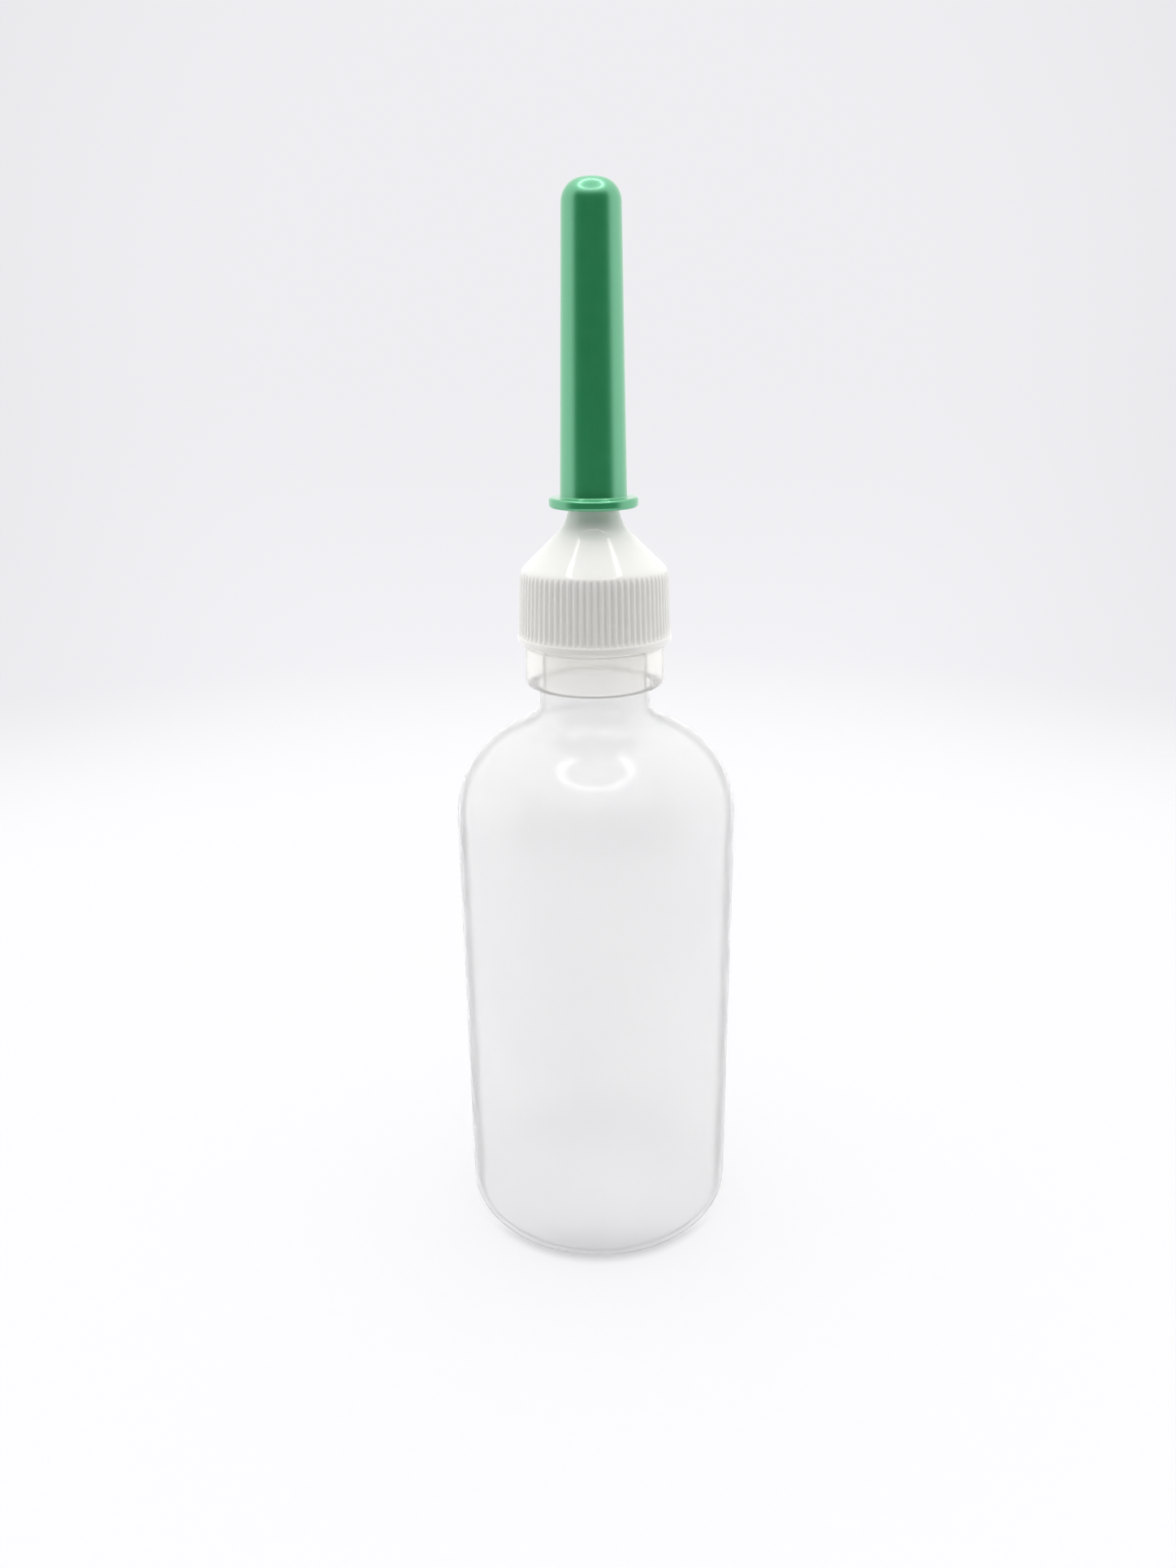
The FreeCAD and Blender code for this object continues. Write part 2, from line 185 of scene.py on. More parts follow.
MOUTH = top("bottle")
CAP_BOTTOM = bottom("screw_cap")
SPOUT_TOP = top("screw_cap")
THREAD_MIDDLE = MOUTH - THREAD_START - THREAD_PITCH * THREAD_TURNS
FINE_RUN = 0.32             # run between the points of a threaded wall
ON_WALL = 0.01              # a point nearer a wall than this belongs to it


def thread_height(angle, height, middle, depth):
    """How far a thread that starts at middle stands out at an angle and height, up to depth."""
    best = 0.0
    for lap in range(math.ceil(THREAD_TURNS)):
        turns = angle / FULL_TURN + lap
        if turns > THREAD_TURNS:
            continue
        from_end = min(turns, THREAD_TURNS - turns)
        across = abs(height - middle - turns * THREAD_PITCH)
        rise = depth - max(0.0, across - THREAD_CREST / 2) * 2
        best = max(best, min(depth, rise) * smooth_step(from_end / THREAD_RUNOUT))
    return best


# ---- the bottle ---------------------------------------------------------------------------------

BODY_RADIUS = radius("bottle")
HEEL_RADIUS = 5.5
BASE_LAND = 1.5
DISH_DEPTH = 2.4
DISH_SLOPE = 7.0
DISH_ROUNDING = 3.0
SHOULDER_RISE = 7.6
SHOULDER_RADIUS = 21.5
NECK_ROUNDING = 6.2
NECK_LENGTH = 7.1
BEAD_OVERHANG = 0.75
BEAD_HEIGHT = 8.1
BEAD_ROUNDING = 1.1
NECK_RADIUS = BORE_RADIUS + BOTTLE_WALL
BEAD_RADIUS = FINISH_RADIUS + THREAD_DEPTH + BEAD_OVERHANG
BEAD_TOP = MOUTH - FINISH_HEIGHT
BEAD_BOTTOM = BEAD_TOP - BEAD_HEIGHT
BOTTLE_SEGMENTS = 288
SEAM_WIDTH = 0.55           # half the width of the mould's parting line
SEAM_DEPTH = 0.05
PINCH_WIDTH = 0.7           # half the width of the pinched seam across the base
PINCH_DEPTH = 0.35
PINCH_LENGTH = 15.0
NECK_MARGIN = 0.1           # how far inside the neck's radius a point is still on its outside


def bottle_wall(inset):
    """Corners from the base to the neck: the outside, or the inside when inset by the wall."""
    run = BODY_RADIUS - NECK_RADIUS
    drop = inset * (math.hypot(run, SHOULDER_RISE) - SHOULDER_RISE) / run
    neck_corner = BEAD_BOTTOM - NECK_LENGTH - drop
    land_inside = BODY_RADIUS - HEEL_RADIUS - BASE_LAND
    return [
        (0, DISH_DEPTH + inset),
        (land_inside - DISH_SLOPE, DISH_DEPTH + inset, DISH_ROUNDING),
        (land_inside, inset),
        (BODY_RADIUS - inset, inset, HEEL_RADIUS - inset),
        (BODY_RADIUS - inset, neck_corner - SHOULDER_RISE, SHOULDER_RADIUS - inset),
        (NECK_RADIUS - inset, neck_corner, NECK_ROUNDING + inset),
    ]


def shape_bottle(across, up, angle):
    """Adds the thread, the parting line and the pinched seam under the base."""
    if abs(across - FINISH_RADIUS) < ON_WALL and BEAD_TOP < up < MOUTH:
        across += thread_height(angle, up, THREAD_MIDDLE, THREAD_DEPTH)
    outside = across > BODY_RADIUS - BOTTLE_WALL / 2
    outside = outside or up > BODY_RADIUS and across > NECK_RADIUS - NECK_MARGIN
    off_seam = across * math.sin(min(turned_from(angle, 0), turned_from(angle, math.pi)))
    if outside and up < BEAD_BOTTOM:
        across -= SEAM_DEPTH * (1 - smooth_step(off_seam / SEAM_WIDTH))
    if up < DISH_DEPTH + ON_WALL and across < PINCH_LENGTH:
        ridge = PINCH_DEPTH * (1 - smooth_step(off_seam / PINCH_WIDTH))
        up += ridge * smooth_step(PINCH_LENGTH - across)
    return across, up


def make_bottle(material):
    outside = bottle_wall(0) + [
        (NECK_RADIUS, BEAD_BOTTOM),
        (BEAD_RADIUS, BEAD_BOTTOM, BEAD_ROUNDING),
        (BEAD_RADIUS, BEAD_TOP, EDGE),
        (FINISH_RADIUS, BEAD_TOP),
        (FINISH_RADIUS, MOUTH, EDGE),
        (BORE_RADIUS, MOUTH, EDGE),
    ]
    inside = list(reversed(bottle_wall(BOTTLE_WALL)))
    points = outline(outside + inside)
    fine = []
    for first, second in zip(points, points[1:]):
        # Known fault: a Vector holds 32-bit numbers, so x never equals 12.55 and the threaded wall
        # isn't cut finely. Its thread is coarse for that reason.
        threaded = first.x == second.x == FINISH_RADIUS
        count = math.ceil((second - first).length / FINE_RUN) if threaded else 1
        fine += [first + (second - first) * (step / count) for step in range(count)]
    piece = lathe("bottle_body", fine + points[-1:], BOTTLE_SEGMENTS, shape=shape_bottle)
    finish_piece(piece, "bottle", "bottle", material)


# ---- the sealing liner, the valve and the nozzle tube -------------------------------------------

LINER_EDGE = 0.15
SEAT_EDGE = 0.2
RING_SEGMENTS = 160
DISC_SEGMENTS = 144
NOZZLE_SEGMENTS = 96
SLIT_ANGLE = 270.0          # the cut round the valve's flap, from +X
SLIT_RADIUS = 3.2
SLIT_WIDTH = 0.25
DISC_EDGE = 0.08
NOZZLE_FLANGE = 1.8
NOZZLE_RADIUS = 3.2
NOZZLE_TAPER = 0.75
NOZZLE_HOLE = 1.25
TIP_ROUNDING = 1.1
HOLE_EDGE = 0.2
CHAMBER_RADIUS = 4.2
CHAMBER_DEPTH = 1.1
SEAT_HOLE = 2.2
LINER_INSIDE = 8.6


def make_ring(name, node, inside, edge, material, body):
    """A flat ring with rounded edges, as high and as wide as its node."""
    low, high, outside = bottom(node), top(node), radius(node)
    corners = [
        (inside, low, edge), (outside, low, edge), (outside, high, edge), (inside, high, edge),
    ]
    piece = lathe(name, outline(corners, closed=True), RING_SEGMENTS, closed=True)
    finish_piece(piece, node, body, material)


def make_valve_disc(material):
    """A disc cut most of the way round, so that its middle is a flap."""
    low, high, outside = bottom("valve_disc") * MM, top("valve_disc") * MM, radius("valve_disc")
    cut_steps = round(DISC_SEGMENTS * SLIT_ANGLE / 360)
    radii = [0, SLIT_RADIUS / 2, SLIT_RADIUS - DISC_EDGE, SLIT_RADIUS, SLIT_RADIUS + SLIT_WIDTH,
             SLIT_RADIUS + SLIT_WIDTH + DISC_EDGE, outside - DISC_EDGE, outside]
    lowered = [0, 0, 0, DISC_EDGE, DISC_EDGE, 0, 0, DISC_EDGE]
    cut = radii.index(SLIT_RADIUS)
    vertices, numbers = [], {}

    def vertex(side, band, step):
        step = step % DISC_SEGMENTS if band else 0
        key = side, band, step
        if key not in numbers:
            numbers[key] = len(vertices)
            on_bridge = band in (cut, cut + 1) and step > cut_steps
            drop = 0 if on_bridge else lowered[band] * MM
            height = high - drop if side else low + drop
            angle = FULL_TURN * step / DISC_SEGMENTS
            across = radii[band] * MM
            vertices.append((across * math.cos(angle), across * math.sin(angle), height))
        return numbers[key]

    def solid(band, step):
        is_cut = band == cut and step % DISC_SEGMENTS < cut_steps
        return 0 <= band < len(radii) - 1 and not is_cut

    faces = []
    for band in range(len(radii) - 1):
        for step in range(DISC_SEGMENTS):
            if not solid(band, step):
                continue
            corners = [(band, step), (band + 1, step), (band + 1, step + 1), (band, step + 1)]
            above = [vertex(1, *corner) for corner in corners]
            below = [vertex(0, *corner) for corner in reversed(corners)]
            faces += [list(dict.fromkeys(above)), list(dict.fromkeys(below))]
            beside = [(band, step - 1), (band + 1, step), (band, step + 1), (band - 1, step)]
            for side, neighbour in enumerate(beside):
                if solid(*neighbour) or (band == 0 and side == 3):
                    continue
                first, second = corners[side], corners[(side + 1) % 4]
                faces.append([vertex(0, *first), vertex(0, *second), vertex(1, *second),
                              vertex(1, *first)])
    piece = make_piece("valve_flap_disc", vertices, faces)
    finish_piece(piece, "valve_disc", "cap", material)


def make_nozzle_tube(material):
    low, tip, flange = bottom("nozzle_tube"), top("nozzle_tube"), radius("nozzle_tube")
    corners = [
        (CHAMBER_RADIUS, low, SEAT_EDGE), (flange, low, SEAT_EDGE),
        (flange, low + NOZZLE_FLANGE, SEAT_EDGE),
        (NOZZLE_RADIUS, low + NOZZLE_FLANGE), (NOZZLE_RADIUS, SPOUT_TOP),
        (NOZZLE_RADIUS - NOZZLE_TAPER, tip, TIP_ROUNDING - HOLE_EDGE),
        (NOZZLE_HOLE, tip, HOLE_EDGE),
        (NOZZLE_HOLE, low + CHAMBER_DEPTH, HOLE_EDGE),
        (CHAMBER_RADIUS, low + CHAMBER_DEPTH),
    ]
    points = outline(corners, closed=True)
    piece = lathe("applicator_nozzle", points, NOZZLE_SEGMENTS, closed=True)
    finish_piece(piece, "nozzle_tube", "cap", material)


# ---- the screw cap ------------------------------------------------------------------------------

RIB_COUNT = 72
RIB_SEGMENTS = 8            # points round the cap for each rib and its flute
RIB_DEPTH = 0.38
FLUTE_WIDTH = 0.62
FLUTE_FLAT = FLUTE_WIDTH / 6        # half the width of a flute's flat floor
FLUTE_SLOPE = FLUTE_WIDTH * 3 / 4   # width over which a flute rises to its rib
RIB_RUNOUT = 0.5            # height over which the flutes fade at their foot
RIM_OVERHANG = 0.18
RIM_HEIGHT = 1.5
RIM_EDGE = 0.55
SKIRT_TAPER = 0.55
CONE_START = 0.4
CONE_ROUNDING = 3.6
CONE_RISE = 8.8
SPOUT_FLARE = 1.05
SPOUT_ROUNDING = 8.0
SPOUT_RISE = 3.7
POCKET_RADIUS = 7.25
OUTER_WALL = 2              # how far inside the skirt the outer wall is cut finely
OUTER_RUN = 3 * FINE_RUN    # run between the points of the outer wall
RIM_RADIUS = radius("screw_cap")
SKIRT_RADIUS = RIM_RADIUS - RIM_OVERHANG
CEILING = bottom("valve_seat")
CONE_FOOT = CEILING + CONE_START
SPOUT_FOOT = CONE_FOOT + CONE_RISE
RIB_FOOT = CAP_BOTTOM + RIM_HEIGHT
POCKET_TOP = bottom("nozzle_tube") + NOZZLE_FLANGE
CAP_THREAD_RADIUS = FINISH_RADIUS + THREAD_CLEARANCE
CAP_THREAD_DEPTH = CAP_WALL_RADIUS - CAP_THREAD_RADIUS


def cap_thread_middle():
    """The cap's thread lies half a turn below the bottle's, raised until the two nearly touch."""
    overlap = THREAD_DEPTH - THREAD_CLEARANCE
    slack = THREAD_PITCH - 2 * THREAD_CREST - overlap
    return THREAD_MIDDLE - THREAD_PITCH / 2 + slack / 2 - THREAD_GAP


def flute_depth(across, up, angle):
    """Depth of the flutes below the ribs. Their floor leans with the skirt, out onto the cone."""
    pitch = FULL_TURN / RIB_COUNT
    from_middle = turned_from(angle % pitch, pitch / 2) * across
    lean = SKIRT_TAPER * (up - RIB_FOOT) / (CONE_FOOT - RIB_FOOT)
    floor = SKIRT_RADIUS - RIB_DEPTH - lean
    foot = smooth_step((up - RIB_FOOT) / RIB_RUNOUT)
    hollow = 1 - smooth_step((from_middle - FLUTE_FLAT) / FLUTE_SLOPE)
    return max(0.0, across - floor) * hollow * foot


def shape_cap(across, up, angle):
    if across > SKIRT_RADIUS - SKIRT_TAPER - RIB_DEPTH and up > RIB_FOOT:
        across -= flute_depth(across, up, angle)
    if across == CAP_WALL_RADIUS and CAP_BOTTOM < up < CEILING:
        across -= thread_height(angle, up, cap_thread_middle(), CAP_THREAD_DEPTH)
    return across, up


def make_screw_cap(material):
    corners = [
        (RIM_RADIUS, CAP_BOTTOM, RIM_EDGE),
        (RIM_RADIUS, RIB_FOOT, RIM_EDGE),
        (SKIRT_RADIUS, RIB_FOOT + RIM_OVERHANG),
        (SKIRT_RADIUS - SKIRT_TAPER, CONE_FOOT, CONE_ROUNDING),
        (SPOUT_RADIUS + SPOUT_FLARE, SPOUT_FOOT, SPOUT_ROUNDING),
        (SPOUT_RADIUS, SPOUT_FOOT + SPOUT_RISE),
        (SPOUT_RADIUS, SPOUT_TOP, EDGE),
        (SPOUT_BORE, SPOUT_TOP, EDGE),
        (SPOUT_BORE, POCKET_TOP),
        (POCKET_RADIUS, POCKET_TOP),
        (POCKET_RADIUS, CEILING),
        (CAP_WALL_RADIUS, CEILING),
        (CAP_WALL_RADIUS, CAP_BOTTOM, EDGE),
    ]
    points = outline(corners, closed=True)
    fine = []
    for first, second in zip(points, points[1:] + points[:1]):
        threaded = first.x == second.x == CAP_WALL_RADIUS
        detailed = threaded or first.x > SKIRT_RADIUS - OUTER_WALL
        run = FINE_RUN if threaded else OUTER_RUN
        count = math.ceil((second - first).length / run) if detailed else 1
        fine += [first + (second - first) * (step / count) for step in range(count)]
    piece = lathe("ribbed_cap", fine, RIB_COUNT * RIB_SEGMENTS, closed=True, shape=shape_cap)
    finish_piece(piece, "screw_cap", "cap", material)


# ---- the nozzle cover ---------------------------------------------------------------------------

COVER_WALL = 1.1
COVER_TAPER = 1.12
COVER_ROUNDING = 4.25
FLANGE_WIDTH = 2.25
FLANGE_THICKNESS = 2.0
FLANGE_ROUNDING = 0.6
GRIP_COUNT = 6
GRIP_DEPTH = 0.61
GRIP_WIDTH = 1.0
GRIP_FLANK = 0.2            # width over which a grip rib's side rises
GRIP_LENGTH = 8.0           # height of the grip ribs above the cover's foot
GATE_RADIUS = 0.9           # the small mark of the mould's gate in the closed end
GATE_DEPTH = 0.12
COVER_SEGMENTS = 144
COVER_RUN = 1.0             # longest straight run between two points of the cover's outline
ON_LEANING_WALL = 0.02      # a point nearer the leaning inside wall than this belongs to it
COVER_FOOT = bottom("nozzle_cover")
COVER_TOP = top("nozzle_cover")
COVER_RADIUS = radius("nozzle_cover") - FLANGE_WIDTH
COVER_INSIDE = COVER_RADIUS - COVER_WALL


def shape_cover(across, up, angle):
    """Adds the grip ribs inside."""
    leaning = COVER_INSIDE - COVER_TAPER * (up - COVER_FOOT) / (COVER_TOP - COVER_WALL - COVER_FOOT)
    beside_rib = COVER_FOOT + EDGE < up < COVER_FOOT + GRIP_LENGTH
    if abs(across - leaning) < ON_LEANING_WALL and beside_rib:
        pitch = FULL_TURN / GRIP_COUNT
        nearest = round(angle / pitch) * pitch
        off = turned_from(angle, nearest) * across
        rib = 1 - smooth_step((off - GRIP_WIDTH / 2 + GRIP_FLANK / 2) / GRIP_FLANK)
        across -= GRIP_DEPTH * rib * smooth_step((COVER_FOOT + GRIP_LENGTH - up) / GRIP_DEPTH)
    return across, up


def make_nozzle_cover(material):
    corners = [
        (0, COVER_TOP - GATE_DEPTH),
        (GATE_RADIUS - GATE_DEPTH, COVER_TOP - GATE_DEPTH),
        (GATE_RADIUS, COVER_TOP),
        (COVER_RADIUS - COVER_TAPER, COVER_TOP, COVER_ROUNDING),
        (COVER_RADIUS, COVER_FOOT + FLANGE_THICKNESS, EDGE),
        (COVER_RADIUS + FLANGE_WIDTH, COVER_FOOT + FLANGE_THICKNESS, FLANGE_ROUNDING),
        (COVER_RADIUS + FLANGE_WIDTH, COVER_FOOT, FLANGE_ROUNDING),
        (COVER_INSIDE, COVER_FOOT, EDGE),
        (COVER_INSIDE - COVER_TAPER, COVER_TOP - COVER_WALL, COVER_ROUNDING - COVER_WALL),
        (0, COVER_TOP - COVER_WALL),
    ]
    points = outline(corners, longest=COVER_RUN)
    piece = lathe("nozzle_cover_shell", points, COVER_SEGMENTS, shape=shape_cover)
    finish_piece(piece, "nozzle_cover", "cover", material)


# ---- materials ----------------------------------------------------------------------------------

def new_material(name):
    material = bpy.data.materials.new(name)
    material.use_nodes = True
    return material, material.node_tree.nodes, material.node_tree.links


NOISE_DETAIL = 3
NOISE_SPREAD = (0.3, 0.7)   # the part of the noise's range that is spread out
CAP_CAST_TINT = (0.95, 0.941, 0.915)    # painted warm cast of the white cap's reflected light and shade, from the neck's bead upwards
CAP_CAST_BAND = 0.5             # height over which the painted warm cast fades in, in millimetres


def speckle(nodes, links, scale, stretch=(1, 1, 1)):
    """Noise in the piece's own coordinates; scale is per metre."""
    place = nodes.new("ShaderNodeTexCoord")
    mapping = nodes.new("ShaderNodeMapping")
    mapping.inputs["Scale"].default_value = stretch
    noise = nodes.new("ShaderNodeTexNoise")
    noise.inputs["Scale"].default_value = scale
    noise.inputs["Detail"].default_value = NOISE_DETAIL
    links.new(place.outputs["Object"], mapping.inputs["Vector"])
    links.new(mapping.outputs["Vector"], noise.inputs["Vector"])
    return noise.outputs["Fac"]


def between(nodes, links, factor, low, high):
    """The factor, spread from low to high."""
    ramp = nodes.new("ShaderNodeMapRange")
    ramp.inputs["From Min"].default_value = NOISE_SPREAD[0]
    ramp.inputs["From Max"].default_value = NOISE_SPREAD[1]
    ramp.inputs["To Min"].default_value = low
    ramp.inputs["To Max"].default_value = high
    links.new(factor, ramp.inputs["Value"])
    return ramp.outputs["Result"]


def mapped(nodes, links, value, start, end, low, high):
    """The value, spread smoothly from low at start to high at end."""
    node = nodes.new("ShaderNodeMapRange")
    node.interpolation_type = "SMOOTHSTEP"
    node.inputs["From Min"].default_value = start
    node.inputs["From Max"].default_value = end
    node.inputs["To Min"].default_value = low
    node.inputs["To Max"].default_value = high
    links.new(value, node.inputs["Value"])
    return node.outputs["Result"]


def tint(nodes, links, factor, first, second):
    mix = nodes.new("ShaderNodeMix")
    mix.data_type = "RGBA"
    mix.inputs["A"].default_value = (*first, 1)
    mix.inputs["B"].default_value = (*second, 1)
    links.new(factor, mix.inputs["Factor"])
    return mix.outputs["Result"]


def bump(nodes, links, height, distance, before=None):
    node = nodes.new("ShaderNodeBump")
    node.inputs["Distance"].default_value = distance
    node.inputs["Strength"].default_value = 1.0
    links.new(height, node.inputs["Height"])
    if before:
        links.new(before, node.inputs["Normal"])
    return node.outputs["Normal"]


def coat(shader, weight, ior, roughness):
    shader.inputs["Coat Weight"].default_value = weight
    shader.inputs["Coat IOR"].default_value = ior
    shader.inputs["Coat Roughness"].default_value = roughness


def scatter(shader, weight, scale):
    """Light that spreads alike in all colours under the skin; scale is in metres."""
    shader.inputs["Subsurface Weight"].default_value = weight
    shader.inputs["Subsurface Radius"].default_value = (1, 1, 1)
    shader.inputs["Subsurface Scale"].default_value = scale


def milky_polyethylene():
    """Natural low-density polyethylene: cloudy, with faint streaks along the blown tube. From the
    neck's bead upwards a warm tint is painted in for the white cap's reflected light and shade.
    """
    material, nodes, links = new_material("milky_polyethylene")
    shader = nodes["Principled BSDF"]
    cloud = between(nodes, links, speckle(nodes, links, 45, (1, 1, 0.4)), 0, 1)
    colour = tint(nodes, links, cloud, (0.948, 0.948, 0.951), (0.968, 0.968, 0.968))
    place = nodes.new("ShaderNodeTexCoord")
    split = nodes.new("ShaderNodeSeparateXYZ")
    links.new(place.outputs["Object"], split.inputs["Vector"])
    # Painted reflection and shade: a warm tint from the neck's bead upwards stands in for the white
    # cap's cast.
    cap_cast = mapped(nodes, links, split.outputs["Z"], (BEAD_BOTTOM - CAP_CAST_BAND) * MM,
                    BEAD_BOTTOM * MM, 0, 1)
    cap_cast_mix = nodes.new("ShaderNodeMix")
    cap_cast_mix.data_type = "RGBA"
    links.new(cap_cast, cap_cast_mix.inputs["Factor"])
    links.new(colour, cap_cast_mix.inputs["A"])
    cap_cast_mix.inputs["B"].default_value = (*CAP_CAST_TINT, 1)
    links.new(cap_cast_mix.outputs["Result"], shader.inputs["Base Color"])
    rough = between(nodes, links, speckle(nodes, links, 260), 0.54, 0.62)
    links.new(rough, shader.inputs["Roughness"])
    streaks = bump(nodes, links, speckle(nodes, links, 300, (1, 1, 0.03)), 0.00003)
    skin = bump(nodes, links, speckle(nodes, links, 1500), 0.00001, before=streaks)
    links.new(skin, shader.inputs["Normal"])
    shader.inputs["IOR"].default_value = 1.04
    coat(shader, 0.65, 1.5, 0.13)
    shader.inputs["Transmission Weight"].default_value = 0.83
    scatter(shader, 1.0, 0.004)
    return material


def white_polypropylene():
    material, nodes, links = new_material("white_polypropylene")
    shader = nodes["Principled BSDF"]
    cloud = between(nodes, links, speckle(nodes, links, 120), 0, 1)
    colour = tint(nodes, links, cloud, (0.95, 0.935, 0.885), (0.97, 0.955, 0.905))
    links.new(colour, shader.inputs["Base Color"])
    rough = between(nodes, links, speckle(nodes, links, 500), 0.42, 0.5)
    links.new(rough, shader.inputs["Roughness"])
    skin = bump(nodes, links, speckle(nodes, links, 2200), 0.000012)
    links.new(skin, shader.inputs["Normal"])
    shader.inputs["IOR"].default_value = 1.3
    coat(shader, 1.0, 1.49, 0.1)
    scatter(shader, 0.6, 0.0012)
    return material


def green_polyethylene():
    material, nodes, links = new_material("green_polyethylene")
    shader = nodes["Principled BSDF"]
    cloud = between(nodes, links, speckle(nodes, links, 90, (1, 1, 0.35)), 0, 1)
    colour = tint(nodes, links, cloud, (0.0, 0.265, 0.07), (0.0, 0.29, 0.082))
    links.new(colour, shader.inputs["Base Color"])
    rough = between(nodes, links, speckle(nodes, links, 420), 0.30, 0.34)
    links.new(rough, shader.inputs["Roughness"])
    drawn = bump(nodes, links, speckle(nodes, links, 300, (1, 1, 0.02)), 0.000006)
    skin = bump(nodes, links, speckle(nodes, links, 2600), 0.000003, before=drawn)
    links.new(skin, shader.inputs["Normal"])
    shader.inputs["IOR"].default_value = 3.4
    shader.inputs["Specular Tint"].default_value = (0.42, 1.0, 0.68, 1)
    coat(shader, 0.9, 1.5, 0.1)
    return material


def natural_polyethylene():
    """The nozzle's plastic: cloudy and a little clearer than the bottle's."""
    material, nodes, links = new_material("natural_polyethylene")
    shader = nodes["Principled BSDF"]
    cloud = between(nodes, links, speckle(nodes, links, 160, (1, 1, 0.3)), 0, 1)
    colour = tint(nodes, links, cloud, (0.88, 0.885, 0.88), (0.92, 0.92, 0.915))
    links.new(colour, shader.inputs["Base Color"])
    rough = between(nodes, links, speckle(nodes, links, 600), 0.24, 0.34)
    links.new(rough, shader.inputs["Roughness"])
    skin = bump(nodes, links, speckle(nodes, links, 2600), 0.000003)
    links.new(skin, shader.inputs["Normal"])
    shader.inputs["IOR"].default_value = 1.5
    scatter(shader, 1.0, 0.003)
    return material


def liner_foam():
    """White closed-cell foam."""
    material, nodes, links = new_material("liner_foam")
    shader = nodes["Principled BSDF"]
    cells = nodes.new("ShaderNodeTexVoronoi")
    cells.inputs["Scale"].default_value = 4200
    place = nodes.new("ShaderNodeTexCoord")
    links.new(place.outputs["Object"], cells.inputs["Vector"])
    colour = tint(nodes, links, cells.outputs["Distance"], (0.78, 0.78, 0.76), (0.88, 0.88, 0.86))
    links.new(colour, shader.inputs["Base Color"])
    links.new(bump(nodes, links, cells.outputs["Distance"], 0.00008), shader.inputs["Normal"])
    shader.inputs["Roughness"].default_value = 0.85
    return material


def silicone_rubber():
    """Cloudy silicone with a matt moulded skin."""
    material, nodes, links = new_material("silicone_rubber")
    shader = nodes["Principled BSDF"]
    cloud = between(nodes, links, speckle(nodes, links, 700), 0, 1)
    colour = tint(nodes, links, cloud, (0.62, 0.64, 0.64), (0.70, 0.72, 0.72))
    links.new(colour, shader.inputs["Base Color"])
    rough = between(nodes, links, speckle(nodes, links, 1500), 0.42, 0.58)
    links.new(rough, shader.inputs["Roughness"])
    links.new(bump(nodes, links, speckle(nodes, links, 3500), 0.00002), shader.inputs["Normal"])
    scatter(shader, 0.7, 0.001)
    return material


# ---- the object ---------------------------------------------------------------------------------

white_plastic = white_polypropylene()
make_bottle(milky_polyethylene())
make_screw_cap(white_plastic)
make_ring("foam_liner", "sealing_liner", LINER_INSIDE, LINER_EDGE,
          liner_foam(), "liner")
make_ring("valve_seat_ring", "valve_seat", SEAT_HOLE, SEAT_EDGE,
          white_plastic, "cap")
make_valve_disc(silicone_rubber())
make_nozzle_tube(natural_polyethylene())
make_nozzle_cover(green_polyethylene())


# ---- camera, light and floor --------------------------------------------------------------------

RING_CENTRE = (0, -0.064, 0.450)    # the ring lamp above the object, towards the camera
RING_RADIUS = 0.142
RING_WIDTH = 0.034
RING_STRENGTH = 5.5
SIDE_LIGHT = 1.12
ROOF_LIGHT = 1.3
OPENING_LIGHT = 0.08
OPENING_EDGE = (-0.55, -0.15)       # from dark to light, as the cosine of the angle from +Y
ROOF_EDGE = (0.45, 0.75)            # from dark to light over the opening, by sine of elevation
FLOOR_GLOW = 0.68
# the floor's glow inside its painted contact shadow
CONTACT_SHADOW_GLOW = 0.42
CONTACT_SHADOW_BAND = (0.026, 0.030)       # painted contact shadow: the floor glows less within this radius, at the front only
FLOOR_RADIUS = 0.6
FLOOR_FADE = 0.3                    # radius at which the floor starts to fade into the backdrop
STAGE_SEGMENTS = 128
SHADE_EDGE = (-0.45, 0.0)           # the backdrop's shade changes between these sines of elevation
SHADE_LEVELS = (0.965, 0.885)       # the backdrop's strength below and above that
SIDE_EDGE = (0.86, 0.97)            # the backdrop darkens between these cosines of the turn from +Y
SIDE_LEVELS = (0.94, 1.0)           # the backdrop's share of its strength at the sides and middle
CAMERA_PLACE = (-0.0017, -0.2435, 0.1876)
CAMERA_DOWN = 19.3                  # degrees below level
CAMERA_ROLL = -0.6                  # degrees
CAMERA_LENS = 27.387                # millimetres, on a sensor of this height:
SENSOR_HEIGHT = 36


def ring_mesh(name, inside, outside):
    """A flat level ring, or a disc when inside is 0."""
    vertices, faces = [], []
    for across in (inside, outside):
        for step in range(STAGE_SEGMENTS):
            angle = FULL_TURN * step / STAGE_SEGMENTS
            vertices.append((across * math.cos(angle), across * math.sin(angle), 0))
    for step in range(STAGE_SEGMENTS):
        following = (step + 1) % STAGE_SEGMENTS
        faces.append((step, STAGE_SEGMENTS + step, STAGE_SEGMENTS + following, following))
    mesh = bpy.data.meshes.new(name)
    mesh.from_pydata(vertices, [], faces)
    return mesh


def make_ring_lamp():
    material, nodes, links = new_material("ring_lamp_light")
    nodes.remove(nodes["Principled BSDF"])
    light = nodes.new("ShaderNodeEmission")
    light.inputs["Strength"].default_value = RING_STRENGTH
    links.new(light.outputs["Emission"], nodes["Material Output"].inputs["Surface"])
    inside, outside = RING_RADIUS - RING_WIDTH / 2, RING_RADIUS + RING_WIDTH / 2
    lamp = bpy.data.objects.new("ring_lamp", ring_mesh("ring_lamp", inside, outside))
    lamp.location = RING_CENTRE
    lamp.data.materials.append(material)
    lamp.visible_camera = False
    link(lamp)


